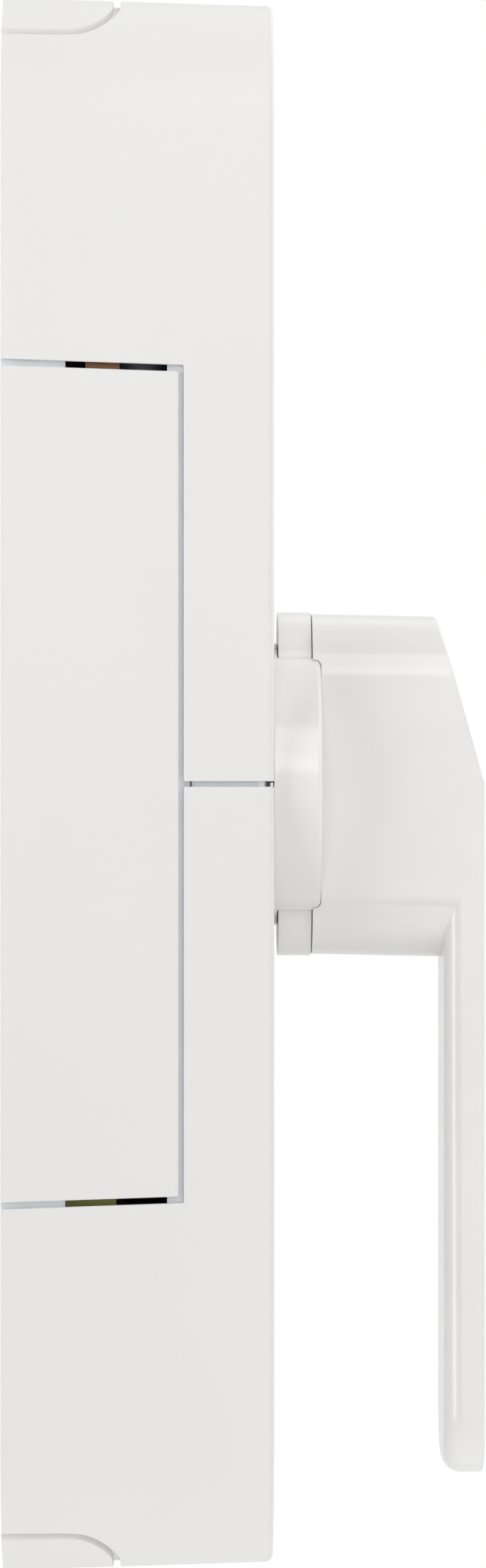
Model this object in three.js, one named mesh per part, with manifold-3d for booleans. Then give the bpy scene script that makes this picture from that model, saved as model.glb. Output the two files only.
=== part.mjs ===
// Motorised window handle drive: a slim housing that screws to a window sash behind the window's own
// handle, turns the square spindle with a worm gear, and carries a lever handle on its front.
//
// Millimetres. The back of the housing lies in the plane y = 0 and its front looks along -Y, +Z is up and
// the origin is where the spindle's axis meets the back plane. "Depth" is the distance in front of the
// back plane, so a depth d is at y = -d. Lengths across are x, heights are z.

import * as THREE from 'three';
import { mergeVertices } from 'three/addons/utils/BufferGeometryUtils.js';
import Module from 'manifold-3d';

const wasm = await Module();
wasm.setup();

// ---------------------------------------------------------------- driving dimensions

const RUNNING = 0.3; // gap between neighbouring pieces
const JOINT_LINE = 1.0; // gap that shows between the covers and the base

const BODY = { halfWidth: 32, halfHeight: 150, depth: 51.1, corner: 27, edge: 1.2, wall: 1.6 };
const DRAFT = Math.tan(THREE.MathUtils.degToRad(1.85)); // taper of every moulded side towards the front

const REBATE = 0.95; // wall left where a cover laps over a flange or a tongue
const FLANGE = { outer: 1.25, inner: 2.4, reach: 2.2 }; // lip of the base that closes the joint line
const PANEL = { halfHeight: 78.3, depth: 33.2, wall: 2.0, inside: 20 };
const PANEL_SLOT = { from: 12.1, to: 31.1, low: 76.6, high: 84 }; // catch windows at the panel's ends
const TAB = { halfWidth: 24.2, taper: 0.04, depth: 20.9, corner: 8.2, wall: 2.2 }; // end tabs of the base
const TAB_GAP = { side: 1.1, front: 1.4 };
const SLAB = 4.8; // thickness of the base's back wall
const TONGUE = { outer: 1.25, inner: 2.05, top: 3.6, root: -6, from: 35.7, to: 49.6 };

const PLATE = { halfWidth: 23, halfHeight: 66, corner: 6, depth: 2, holeRadius: 9 };
const PLATE_SCREWS = [[17, 45], [-5, 45], [17, -38], [-17, -38]];
const FIXING_SPACING = 43; // the standard screw spacing of a window handle
const FIXING_HOLE = 2.7;

const COLLAR = { radius: 27, bottom: 51.4, top: 60.2, edge: 0.8, spigot: 24.7, seat: 44.3, bore: 8 };
const ROSETTE = { halfWidth: 12.75, halfHeight: 32.9, corner: 12.4, from: 52.2, to: 58.4, edge: 0.4 };
const LEVER = {
  halfWidth: 14, neckHalf: 32.55, neckDrop: 0.02, neckCorner: 12.4, neckFrom: 58.7, front: 91.4,
  slopeDepth: 82.4, slopeTop: 32.2, tip: 131.7, tipCorner: 12, barFrom: 83.6, barEdge: 3.7, edge: 0.6,
};
const SPINDLE = { half: 3.5, from: 20.3, to: 82 };
const SOCKET_HALF = SPINDLE.half + RUNNING;

const WHEEL = { teeth: 28, module: 1, from: 22.6, to: 29.4, bore: 8.3 };
const WORM = { pitchRadius: 5, root: 3.75, tip: 5.9, turns: 4, stepsPerTurn: 14 };
const THINNING = 0.12; // each tooth flank is this much thinner than theory, for backlash
const PRESSURE_ANGLE = THREE.MathUtils.degToRad(20);
const PITCH = Math.PI * WHEEL.module;
const WHEEL_RADIUS = (WHEEL.teeth * WHEEL.module) / 2;
const WORM_X = -(WHEEL_RADIUS + WORM.pitchRadius);
const WORM_DEPTH = (WHEEL.from + WHEEL.to) / 2;

const HUB = { radius: 7, seat: 8, flange: 10.5, from: 1.2, to: 56.5 };
const CASE = { left: -27.6, right: 20.5, low: -28, high: 30.4, corner: 4, from: 5.1, split: 26, to: 44 };
const CASE_SCREWS = [[16, 24], [16, -24], [-7.5, 24], [-7.5, -24]];
const BEARINGS = [[-20.2, -16.2], [15, 19]]; // lower and upper end of each worm bearing
const MOTOR = { radius: 7.8, headTo: 52, canTo: 84, capTo: 88 };

const BUTTON = { z: 98, radius: 6.5, flange: 7.7, travel: 0.5 };
const LIGHT = { z: 113, radius: 1.6 };
const CHARGE = { depth: 36, halfWidth: 4.5, halfDepth: 1.6 };

const CELL = { radius: 9.2, low: -117, high: -52, depth: 20.2, xs: [-8.8, 10.4] };
const BOARD = { x: -28.2, thickness: 1.6, depthFrom: 6, depthTo: 21.6, low: -128, high: -34 };

// ---------------------------------------------------------------- finishes

const finish = (color, roughness, metalness = 0) =>
  new THREE.MeshStandardMaterial({ color, roughness, metalness });
const white = finish(0xecebe9, 0.42);
const whiteLacquer = finish(0xe9e8e6, 0.38);
const steel = finish(0x9fa3a6, 0.35, 0.9);
const zinc = finish(0x8d9093, 0.5, 0.8);
const brass = finish(0xb5923f, 0.35, 0.9);
const darkPlastic = finish(0x2b2d2f, 0.6);
const motorPaint = finish(0x3b4045, 0.5, 0.4);
const boardGreen = finish(0x5f6b22, 0.55);
const polyimide = finish(0x9a5f16, 0.45);
const cellSleeve = finish(0x23262a, 0.45);
const nickel = finish(0xb9b7ae, 0.3, 0.9);
const clearPlastic = finish(0xdfe6ea, 0.15);
const redInsulation = finish(0xa32420, 0.5);
const magnetGrey = finish(0x55585c, 0.5, 0.3);

// ---------------------------------------------------------------- solids and placing

function toSolid(geometry) {
  const bare = geometry.index ? geometry.toNonIndexed() : geometry.clone();
  bare.deleteAttribute('normal');
  bare.deleteAttribute('uv');
  const merged = mergeVertices(bare, 1e-4);
  return new wasm.Manifold(new wasm.Mesh({
    numProp: 3,
    vertProperties: merged.attributes.position.array,
    triVerts: new Uint32Array(merged.index.array),
  }));
}

function toGeometry(solid) {
  const mesh = solid.getMesh();
  const geometry = new THREE.BufferGeometry();
  const positions = new Float32Array(mesh.numVert * 3);
  for (let i = 0; i < mesh.numVert; i++) {
    const start = i * mesh.numProp;
    positions.set(mesh.vertProperties.subarray(start, start + 3), i * 3);
  }
  geometry.setAttribute('position', new THREE.BufferAttribute(positions, 3));
  geometry.setIndex(new THREE.BufferAttribute(mesh.triVerts, 1));
  geometry.computeVertexNormals();
  return geometry;
}

const join = (...solids) => solids.reduce((all, next) => all.add(next));
const cut = (solid, ...tools) => tools.reduce((left, tool) => left.subtract(tool), solid);
const common = (...solids) => solids.reduce((left, next) => left.intersect(next));

// Turns a shape drawn in (x, z) and extruded forwards into the part's frame: depth runs along -Y.
function towardsFront(geometry, depth) {
  return geometry.translate(0, 0, depth).rotateX(Math.PI / 2);
}

function roundedRect(halfX, halfY, radius) {
  const shape = new THREE.Shape();
  const [left, low] = [halfX - radius, halfY - radius];
  shape.absarc(left, low, radius, 0, Math.PI / 2);
  shape.absarc(-left, low, radius, Math.PI / 2, Math.PI);
  shape.absarc(-left, -low, radius, Math.PI, 1.5 * Math.PI);
  shape.absarc(left, -low, radius, 1.5 * Math.PI, 2 * Math.PI);
  return shape;
}

// A shape in (x, z) as a prism between two depths. `edge` rounds both ends.
function prism(shape, from, to, { edge = 0, segments = 6, edgeSegments = 2 } = {}) {
  const geometry = new THREE.ExtrudeGeometry(shape, {
    depth: to - from - 2 * edge,
    curveSegments: segments,
    bevelEnabled: edge > 0,
    bevelThickness: edge,
    bevelSize: edge,
    bevelOffset: -edge,
    bevelSegments: edgeSegments,
  });
  return toSolid(towardsFront(geometry, from + edge));
}

// A shape in (-depth, z) as a prism across the part.
function sidePrism(shape, left, right, segments = 6) {
  const geometry = new THREE.ExtrudeGeometry(shape, {
    depth: right - left, curveSegments: segments, bevelEnabled: false,
  });
  geometry.translate(0, 0, left);
  const turn = new THREE.Matrix4().set(0, 0, 1, 0, 1, 0, 0, 0, 0, 1, 0, 0, 0, 0, 0, 1);
  return toSolid(geometry.applyMatrix4(turn));
}

// A shape in (x, y) as an upright prism.
function uprightPrism(shape, low, high, segments = 6) {
  const geometry = new THREE.ExtrudeGeometry(shape, {
    depth: high - low, curveSegments: segments, bevelEnabled: false,
  });
  return toSolid(geometry.translate(0, 0, low));
}

function block([x0, x1], [z0, z1], [from, to]) {
  const geometry = new THREE.BoxGeometry(x1 - x0, to - from, z1 - z0);
  return toSolid(geometry.translate((x0 + x1) / 2, -(from + to) / 2, (z0 + z1) / 2));
}

// A disc or rod along the depth.
function rod(radius, from, to, [x, z] = [0, 0], segments = 24) {
  const geometry = new THREE.CylinderGeometry(radius, radius, to - from, segments);
  return toSolid(geometry.translate(x, -(from + to) / 2, z));
}

// A rod that stands upright, on the axis at x and depth.
function post(radius, low, high, [x, depth], segments = 20) {
  const geometry = new THREE.CylinderGeometry(radius, radius, high - low, segments);
  return toSolid(geometry.rotateX(Math.PI / 2).translate(x, -depth, (low + high) / 2));
}

const ring = (outer, inner, from, to, segments = 24) =>
  cut(rod(outer, from, to, [0, 0], segments), rod(inner, from - 1, to + 1, [0, 0], segments));

// ---------------------------------------------------------------- the housing's outer form

// The housing's outer form moved inwards by `inset`, open-ended past the back plane. The outline is a
// rounded rectangle; every wall leans in by the draft, and the front edge is rounded.
function outerForm(inset) {
  const outline = roundedRect(BODY.halfWidth, BODY.halfHeight, BODY.corner);
  const [back, front] = [-6, BODY.depth - inset];
  const geometry = new THREE.ExtrudeGeometry(outline, {
    depth: front - back - 2 * BODY.edge,
    curveSegments: 9,
    bevelThickness: BODY.edge,
    bevelSize: BODY.edge,
    bevelOffset: -BODY.edge,
    bevelSegments: 2,
  });
  geometry.translate(0, 0, back + BODY.edge);
  const straight = [BODY.halfWidth - BODY.corner, BODY.halfHeight - BODY.corner];
  const points = geometry.attributes.position;
  for (let i = 0; i < points.count; i++) {
    const [x, z, depth] = [points.getX(i), points.getY(i), points.getZ(i)];
    const centreX = THREE.MathUtils.clamp(x, -straight[0], straight[0]);
    const centreZ = THREE.MathUtils.clamp(z, -straight[1], straight[1]);
    const shrink = 1 - (inset + DRAFT * depth) / BODY.corner;
    points.setXY(i, centreX + (x - centreX) * shrink, centreZ + (z - centreZ) * shrink);
  }
  return toSolid(geometry.rotateX(Math.PI / 2));
}

const everything = 400;
const inFrontOfBack = block([-everything, everything], [-everything, everything], [0, everything]);
const skin = (outer, inner) => common(cut(outerForm(outer), outerForm(inner)), inFrontOfBack);

// Both side walls, between two depths, up to a height that leans in with the draft.
function sideRegion(halfHeight, from, to, inside = PANEL.inside) {
  const lean = (depth) => halfHeight - DRAFT * depth;
  const profile = new THREE.Shape();
  profile.moveTo(-from, -lean(from));
  profile.lineTo(-from, lean(from));
  profile.lineTo(-to, lean(to));
  profile.lineTo(-to, -lean(to));
  return join(sidePrism(profile, -60, -inside), sidePrism(profile, inside, 60));
}

// The end tabs' region seen from above: it starts behind the back plane, tapers towards the front and has
// two round front corners.
function tabRegion(halfWidth, depth, corner) {
  const plan = new THREE.Shape();
  const halfAt = (y) => halfWidth + TAB.taper * y;
  const arcCentre = [halfAt(corner - depth) - corner, corner - depth];
  plan.moveTo(-halfAt(8), 8);
  plan.lineTo(-halfAt(corner - depth), corner - depth);
  plan.absarc(-arcCentre[0], arcCentre[1], corner, Math.PI, 1.5 * Math.PI);
  plan.absarc(...arcCentre, corner, 1.5 * Math.PI, 2 * Math.PI);
  plan.lineTo(halfAt(8), 8);
  return join(uprightPrism(plan, 118, 170), uprightPrism(plan, -170, -118));
}

// ---------------------------------------------------------------- base and mounting plate

function slots() {
  const { from, to, low, high } = PANEL_SLOT;
  return [1, -1].flatMap((side) => [1, -1].map((end) => block(
    side > 0 ? [PANEL.inside - 2, 60] : [-60, 2 - PANEL.inside],
    end > 0 ? [low, high] : [-high, -low],
    [from, to],
  )));
}

function mountingPlate() {
  const sheet = prism(roundedRect(PLATE.halfWidth, PLATE.halfHeight, PLATE.corner), 0, PLATE.depth);
  const fixings = [1, -1].map((s) => rod(FIXING_HOLE, -1, 5, [0, (s * FIXING_SPACING) / 2], 14));
  const tapped = PLATE_SCREWS.map((place) => rod(1.8, -1, 5, place, 10));
  return cut(sheet, rod(PLATE.holeRadius, -1, 5, [0, 0], 24), ...fixings, ...tapped);
}

function baseHousing() {
  const backWall = common(outerForm(BODY.wall + RUNNING), block([-60, 60], [-170, 170], [0, SLAB]));
  const pocket = prism(
    roundedRect(PLATE.halfWidth + RUNNING, PLATE.halfHeight + RUNNING, PLATE.corner),
    -1, PLATE.depth + RUNNING);
  const panels = common(skin(0, PANEL.wall), sideRegion(PANEL.halfHeight, -1, PANEL.depth));
  const flangeHeight = PANEL.halfHeight + JOINT_LINE + FLANGE.reach;
  const flangeDepth = PANEL.depth + JOINT_LINE + FLANGE.reach - 1;
  const flange = common(skin(FLANGE.outer, FLANGE.inner), sideRegion(flangeHeight, -1, flangeDepth));
  const tabs = common(skin(0, TAB.wall), tabRegion(TAB.halfWidth, TAB.depth, TAB.corner));
  const cradle = cut(
    join(block([-27.4, -3.5], [60, 66], [4, 24]), block([-27.4, -12], [34, 40], [4, 24])),
    post(MOTOR.radius + RUNNING, 30, 70, [WORM_X, WORM_DEPTH]));
  const boardPosts = [66, 116].map((z) => rod(3, 4, 44.2, [18, z], 12));
  const screwHoles = PLATE_SCREWS.flatMap(
    (place) => [rod(1.8, -1, 9, place, 10), rod(3.3, 3.1, 9, place, 12)]);
  const walls = cut(join(backWall, panels, cut(flange, ...slots()), tabs, cradle, ...boardPosts), pocket);
  return cut(walls, rod(PLATE.holeRadius, -1, 9, [0, 0], 24), ...screwHoles, strapScrewHole());
}

const strapScrewHole = () => rod(1.35, 16, 30, [-6.4, 63], 12);

// ---------------------------------------------------------------- covers

function coverShell() {
  const lapOverPanel = sideRegion(
    PANEL.halfHeight + JOINT_LINE + 2.6, -8, PANEL.depth + JOINT_LINE + 2.6, 15);
  const cutOut = sideRegion(PANEL.halfHeight + JOINT_LINE, -8, PANEL.depth + JOINT_LINE, 15);
  const tabGap = tabRegion(
    TAB.halfWidth + TAB_GAP.side, TAB.depth + TAB_GAP.front, TAB.corner + TAB_GAP.side);
  const rebate = common(outerForm(REBATE), lapOverPanel);
  return cut(skin(0, BODY.wall), rebate, cutOut, tabGap, rod(COLLAR.spigot + RUNNING, 40, 60, [0, 0], 48));
}

// The charging port's flat-sided oval as an upright prism, `growth` larger than the socket all round.
function chargePort(growth, low, high) {
  const [halfX, halfY] = [CHARGE.halfWidth + growth, CHARGE.halfDepth + growth];
  const oval = new THREE.Shape();
  oval.absarc(halfX - halfY, 0, halfY, -Math.PI / 2, Math.PI / 2);
  oval.absarc(halfY - halfX, 0, halfY, Math.PI / 2, 1.5 * Math.PI);
  return uprightPrism(oval, low, high, 4).translate([0, -CHARGE.depth, 0]);
}

function upperCover(shell) {
  const aboveSplit = block([-60, 60], [JOINT_LINE / 2, 170], [-1, 60]);
  const tongueRebate = common(outerForm(REBATE), block([-60, 60], [-1, TONGUE.top + RUNNING], [30, 60]));
  return cut(common(shell, aboveSplit), tongueRebate,
    rod(BUTTON.radius + RUNNING, 40, 60, [0, BUTTON.z], 32),
    rod(LIGHT.radius + RUNNING, 40, 60, [0, LIGHT.z], 16));
}

function lowerCover(shell) {
  const belowSplit = block([-60, 60], [-170, -JOINT_LINE / 2], [-1, 60]);
  const wall = cut(common(shell, belowSplit), chargePort(RUNNING, -170, -140));
  const tongue = common(
    cut(outerForm(TONGUE.outer), outerForm(TONGUE.inner)),
    join(block([-60, -25.4], [TONGUE.root, TONGUE.top], [TONGUE.from, TONGUE.to]),
      block([25.4, 60], [TONGUE.root, TONGUE.top], [TONGUE.from, TONGUE.to])));
  const lip = [[-30.4, -25.4], [25.4, 30.4]].map((xs) => block(xs, [-0.8, 0.2], [50.2, 50.8]));
  return join(wall, tongue, ...lip);
}

// ---------------------------------------------------------------- collar, rosette and lever handle

function collarRing() {
  const profile = [
    [COLLAR.bore, COLLAR.seat], [COLLAR.spigot, COLLAR.seat], [COLLAR.spigot, COLLAR.bottom],
    [COLLAR.radius, COLLAR.bottom], [COLLAR.radius, COLLAR.top - COLLAR.edge],
    [COLLAR.radius - 0.3 * COLLAR.edge, COLLAR.top - 0.3 * COLLAR.edge],
    [COLLAR.radius - COLLAR.edge, COLLAR.top], [COLLAR.bore, COLLAR.top], [COLLAR.bore, COLLAR.seat],
  ].map(([radius, depth]) => new THREE.Vector2(radius, -depth));
  const turned = toSolid(new THREE.LatheGeometry(profile.reverse(), 48));
  const { halfWidth, halfHeight, corner, from } = ROSETTE;
  const slotOutline = roundedRect(halfWidth + RUNNING, halfHeight + RUNNING, corner + RUNNING);
  const slot = prism(slotOutline, from - RUNNING, COLLAR.top + 1, { segments: 8 });
  const screwHoles = [1, -1].map((s) => rod(2.8, 40, 60, [0, (s * FIXING_SPACING) / 2], 20));
  return cut(turned, slot, ...screwHoles);
}

function rosette() {
  const outline = roundedRect(ROSETTE.halfWidth, ROSETTE.halfHeight, ROSETTE.corner);
  const rounding = { edge: ROSETTE.edge, segments: 8, edgeSegments: 1 };
  const plate = prism(outline, ROSETTE.from, ROSETTE.to, rounding);
  const screws = [1, -1].flatMap((s) => [
    rod(2.8, 40, 70, [0, (s * FIXING_SPACING) / 2], 20),
    rod(5.2, ROSETTE.to - 3.2, 70, [0, (s * FIXING_SPACING) / 2], 24),
  ]);
  return cut(plate, rod(COLLAR.bore, 40, 70), ...screws);
}

// The lever's neck seen from the side: flat behind, sloping away in front above the spindle.
function neckProfile() {
  const profile = new THREE.Shape();
  const round = 2.4;
  const slope = new THREE.Vector2(LEVER.front - LEVER.slopeDepth, LEVER.slopeTop).normalize();
  profile.moveTo(-LEVER.neckFrom, -40);
  profile.lineTo(-LEVER.neckFrom, LEVER.neckHalf);
  profile.lineTo(-(LEVER.slopeDepth - round), LEVER.slopeTop + 0.05);
  profile.quadraticCurveTo(
    -LEVER.slopeDepth, LEVER.slopeTop,
    -(LEVER.slopeDepth + round * slope.x), LEVER.slopeTop - round * slope.y);
  profile.lineTo(-LEVER.front, 0);
  profile.lineTo(-LEVER.front, -40);
  return profile;
}

function leverHandle() {
  const { halfWidth, neckHalf, neckCorner, neckFrom, front, tip, tipCorner, barFrom, barEdge, edge } = LEVER;
  const neckOutline = roundedRect(halfWidth, neckHalf, neckCorner);
  const neckBlock = prism(neckOutline, neckFrom - edge, front, { edge, segments: 8 });
  const drooping = neckBlock.warp((point) => { // the neck leans down a little towards the front
    point[2] += LEVER.neckDrop * (point[1] + neckFrom);
  });
  const neck = common(drooping, sidePrism(neckProfile(), -40, 40, 4));
  const bar = new THREE.Shape();
  bar.moveTo(halfWidth, -4);
  bar.lineTo(-halfWidth, -4);
  bar.absarc(tipCorner - halfWidth, tipCorner - tip, tipCorner, Math.PI, 1.5 * Math.PI);
  bar.absarc(halfWidth - tipCorner, tipCorner - tip, tipCorner, 1.5 * Math.PI, 2 * Math.PI);
  const roundBehind = prism(bar, barFrom, front + 8, { edge: barEdge, segments: 7, edgeSegments: 4 });
  const roundInFront = prism(bar, barFrom - 8, front, { edge, segments: 7 });
  const lever = join(neck, common(roundBehind, roundInFront));
  const collarRelief = rod(COLLAR.radius + 0.4, neckFrom - 5, COLLAR.top + RUNNING, [0, 0], 48);
  const acrossSocket = [-SOCKET_HALF, SOCKET_HALF];
  const socket = block(acrossSocket, acrossSocket, [neckFrom - 5, SPINDLE.to + RUNNING]);
  return cut(lever, collarRelief, socket, crossPinHole());
}

const CROSS_PIN = { depth: 70, radius: 1.5, halfLength: 10.5 };
function crossPin(radius, halfLength) {
  const geometry = new THREE.CylinderGeometry(radius, radius, 2 * halfLength, 16);
  return toSolid(geometry.rotateZ(Math.PI / 2).translate(0, -CROSS_PIN.depth, 0));
}
const crossPinHole = () => crossPin(CROSS_PIN.radius + RUNNING, CROSS_PIN.halfLength + RUNNING);

function handleSpindle() {
  const half = SPINDLE.half;
  return cut(block([-half, half], [-half, half], [SPINDLE.from, SPINDLE.to]), crossPinHole());
}

// A countersunk screw with a cross slot, its head's face at the origin and its shank along +Y.
function countersunkScrew(head, shank, headDepth, length, slotWidth) {
  const profile = [[0, 0], [head, 0], [head, 0.3], [shank, headDepth], [shank, length], [0, length]]
    .map(([radius, y]) => new THREE.Vector2(radius, y));
  const body = toSolid(new THREE.LatheGeometry(profile, 12));
  const arm = [head * 0.55, slotWidth / 2];
  const cross = [arm, [...arm].reverse()].map(([x, z]) => {
    const geometry = new THREE.BoxGeometry(2 * x, 2 * headDepth * 0.6, 2 * z);
    return toSolid(geometry);
  });
  return toGeometry(cut(body, ...cross));
}

// ---------------------------------------------------------------- worm gear and output hub

const involute = (angle) => Math.tan(angle) - angle;

// Half the angle that a wheel tooth takes up at a radius.
function toothHalfAngle(radius) {
  const base = WHEEL_RADIUS * Math.cos(PRESSURE_ANGLE);
  const atPitch = Math.PI / (2 * WHEEL.teeth) - THINNING / WHEEL_RADIUS;
  const here = radius > base ? involute(Math.acos(base / radius)) : 0;
  return atPitch + involute(PRESSURE_ANGLE) - here;
}

function wormWheel() {
  const radii = [12.7, 13.4, 14.1, 14.85];
  const outline = new THREE.Shape();
  const step = (2 * Math.PI) / WHEEL.teeth;
  for (let tooth = 0; tooth < WHEEL.teeth; tooth++) {
    const middle = Math.PI + (tooth + 0.5) * step;
    const flank = radii.map((radius) => [radius, toothHalfAngle(radius)]);
    const points = [
      ...flank.map(([r, a]) => [r, middle - a]),
      ...flank.reverse().map(([r, a]) => [r, middle + a]),
    ];
    points.forEach(([r, angle], i) => {
      const [x, y] = [r * Math.cos(angle), r * Math.sin(angle)];
      if (tooth + i === 0) outline.moveTo(x, y);
      else outline.lineTo(x, y);
    });
  }
  const geometry = new THREE.ExtrudeGeometry(outline, { depth: WHEEL.to - WHEEL.from, bevelEnabled: false });
  towardsFront(geometry, WHEEL.from);
  const lead = PITCH / (2 * Math.PI * WORM.pitchRadius); // the teeth lean by the worm's lead angle
  const points = geometry.attributes.position;
  const axis = new THREE.Vector3(0, 1, 0);
  const point = new THREE.Vector3();
  for (let i = 0; i < points.count; i++) {
    point.fromBufferAttribute(points, i);
    point.applyAxisAngle(axis, ((point.y + WORM_DEPTH) * lead) / WHEEL_RADIUS);
    points.setXYZ(i, point.x, point.y, point.z);
  }
  return cut(toSolid(geometry), rod(WHEEL.bore, 10, 40));
}

// One worm thread: a straight bar of its section, wound round the worm's axis.
function wormThread() {
  const { pitchRadius, root, tip, turns, stepsPerTurn } = WORM;
  const flank = (radius) => PITCH / 4 - THINNING - (radius - pitchRadius) * Math.tan(PRESSURE_ANGLE);
  const inner = root - 0.6;
  const section = new THREE.Shape();
  section.moveTo(inner, -flank(root));
  section.lineTo(root, -flank(root));
  section.lineTo(tip, -flank(tip));
  section.lineTo(tip, flank(tip));
  section.lineTo(root, flank(root));
  section.lineTo(inner, flank(root));
  const settings = { depth: 1, steps: turns * stepsPerTurn, bevelEnabled: false };
  const geometry = new THREE.ExtrudeGeometry(section, settings);
  const points = geometry.attributes.position;
  for (let i = 0; i < points.count; i++) {
    const [radius, along] = [points.getX(i), points.getY(i)];
    const angle = (0.5 - points.getZ(i)) * turns * 2 * Math.PI;
    const z = along + (PITCH * angle) / (2 * Math.PI);
    points.setXYZ(i, radius * Math.cos(angle), radius * Math.sin(angle), z);
  }
  return toSolid(geometry);
}

function wormShaft() {
  const core = join(
    post(WORM.root, -10.5, 10.5, [0, 0]),
    post(2.6, BEARINGS[0][0] - 0.2, 23, [0, 0]));
  return join(core, wormThread());
}

function outputHub() {
  const profile = [
    [2, HUB.from], [HUB.radius, HUB.from], [HUB.radius, WHEEL.from - 0.3], [HUB.seat, WHEEL.from - 0.3],
    [HUB.seat, WHEEL.to + 0.3], [HUB.flange, WHEEL.to + 0.3], [HUB.flange, WHEEL.to + 2.2],
    [HUB.radius, WHEEL.to + 2.2], [HUB.radius, HUB.to], [2, HUB.to], [2, HUB.from],
  ].map(([radius, depth]) => new THREE.Vector2(radius, -depth));
  const turned = toSolid(new THREE.LatheGeometry(profile.reverse(), 32));
  return cut(turned, block([-SOCKET_HALF, SOCKET_HALF], [-SOCKET_HALF, SOCKET_HALF], [-1, 70]));
}

// ---------------------------------------------------------------- gear case

function caseCavities() {
  const axis = [WORM_X, WORM_DEPTH];
  const wheelRoom = rod(16, 9.2, 39.8, [0, 0], 40);
  const wormRoom = post(7, -14.5, 13.2, axis);
  const seats = BEARINGS.map(([low, high]) => post(5 + RUNNING, low - RUNNING, high + RUNNING, axis));
  const couplingRoom = post(5.2, 18, 40, axis);
  return [
    wheelRoom, wormRoom, ...seats, couplingRoom, post(3.7, -20.5, 22, axis, 16), rod(9.3, 0, 60),
    ...CASE_SCREWS.map((place) => rod(2, 8, 60, place, 12)),
    ...[1, -1].map((s) => rod(2.9, 30, 60, [0, (s * FIXING_SPACING) / 2], 14)),
  ];
}

function gearCaseHalf(from, to, cavities) {
  const { left, right, low, high, corner } = CASE;
  const outline = roundedRect((right - left) / 2, (high - low) / 2, corner);
  const body = prism(outline, from, to, { segments: 4 }).translate([(left + right) / 2, 0, (low + high) / 2]);
  return cut(body, ...cavities);
}

// ---------------------------------------------------------------- electronics, battery and leads

function lead(points, radius) {
  const path = new THREE.CatmullRomCurve3(points.map(([x, depth, z]) => new THREE.Vector3(x, -depth, z)));
  const section = new THREE.Shape();
  section.absarc(0, 0, radius, 0, 2 * Math.PI);
  const geometry = new THREE.ExtrudeGeometry(section, { extrudePath: path, steps: 26, curveSegments: 4 });
  return toSolid(geometry);
}

function batteryHolder() {
  const tray = block([-19.6, 21.2], [-121.4, -47.6], [5.1, 22]);
  const room = block([-18.4, 20], [CELL.low - 1.6, CELL.high + 1.6], [8, 40]);
  const cells = CELL.xs.map(
    (x) => post(CELL.radius + RUNNING, CELL.low - 1.6, CELL.high + 1.6, [x, CELL.depth]));
  const cradle = block([-18.4, 20], [-100, -96], [7.5, 16]);
  return join(cut(tray, room), cut(cradle, ...cells));
}

function motorStrap() {
  const axis = [WORM_X, WORM_DEPTH];
  const hoop = cut(post(MOTOR.radius + 1.4, 60, 66, axis), post(MOTOR.radius + RUNNING, 50, 70, axis));
  const front = common(hoop, block([-60, 60], [50, 70], [24.3, 60]));
  const ear = cut(block([-10.4, -3.5], [60, 66], [24.3, 26.5]), rod(1.6, 20, 30, [-6.4, 63], 12));
  return join(front, ear);
}

function pushButton() {
  const profile = [
    [0, 48.6], [BUTTON.flange, 48.6], [BUTTON.flange, 49.2],
    [BUTTON.radius, 49.2], [BUTTON.radius, BODY.depth - 0.1], [BUTTON.radius - 0.3, BODY.depth + 0.2],
    [0, BODY.depth + 0.2],
  ].map(([radius, depth]) => new THREE.Vector2(radius, -depth));
  return toSolid(new THREE.LatheGeometry(profile.reverse(), 32)).translate([0, 0, BUTTON.z]);
}

// ---------------------------------------------------------------- the assembly

const assembly = new THREE.Group();
assembly.name = 'window_handle_drive';

function add(name, shape, material, parent = assembly) {
  const geometry = shape.isBufferGeometry ? shape : toGeometry(shape);
  const mesh = new THREE.Mesh(geometry, material);
  mesh.name = name;
  parent.add(mesh);
  return mesh;
}

function addScrew(name, geometry, x, depth, z) {
  add(name, geometry, steel).position.set(x, -depth, z);
}

// Base
add('mounting_plate', mountingPlate(), steel);
add('base_housing', baseHousing(), white);
const plateScrew = countersunkScrew(2.9, 1.4, 1.3, 4.5, 0.8);
PLATE_SCREWS.forEach(([x, z], i) => addScrew(`plate_screw_${i + 1}`, plateScrew, x, SLAB - 0.1, z));

// Covers
const shell = coverShell();
add('upper_cover', upperCover(shell), white);
add('lower_cover', lowerCover(shell), white);

// Front fittings that stay still
add('collar_ring', collarRing(), white);
add('rosette', rosette(), whiteLacquer);
const rosetteScrew = countersunkScrew(4.7, 2.4, 2.6, 24, 1.2);
[1, -1].forEach((s) => addScrew(
  s > 0 ? 'rosette_screw_upper' : 'rosette_screw_lower',
  rosetteScrew, 0, ROSETTE.to - 0.3, (s * FIXING_SPACING) / 2));

// Gear case with its bearings
const cavities = caseCavities();
add('gear_case_rear', gearCaseHalf(CASE.from, CASE.split - 0.15, cavities), zinc);
add('gear_case_front', gearCaseHalf(CASE.split + 0.15, CASE.to, cavities), zinc);
const caseScrew = countersunkScrew(1.6, 1.4, 0.6, 34, 0.6);
CASE_SCREWS.forEach(([x, z], i) => addScrew(`gear_case_screw_${i + 1}`, caseScrew, x, CASE.to - 0.2, z));
add('hub_bush_rear', ring(9, HUB.radius + RUNNING, 5.4, 8.9), brass);
add('hub_bush_front', ring(9, HUB.radius + RUNNING, 40.3, 43.8), brass);
BEARINGS.forEach(([low, high], i) => {
  const axis = [WORM_X, WORM_DEPTH];
  const bearing = cut(post(5, low, high, axis), post(2.6 + RUNNING, low - 1, high + 1, axis));
  add(i ? 'worm_bearing_upper' : 'worm_bearing_lower', bearing, steel);
});

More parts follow.
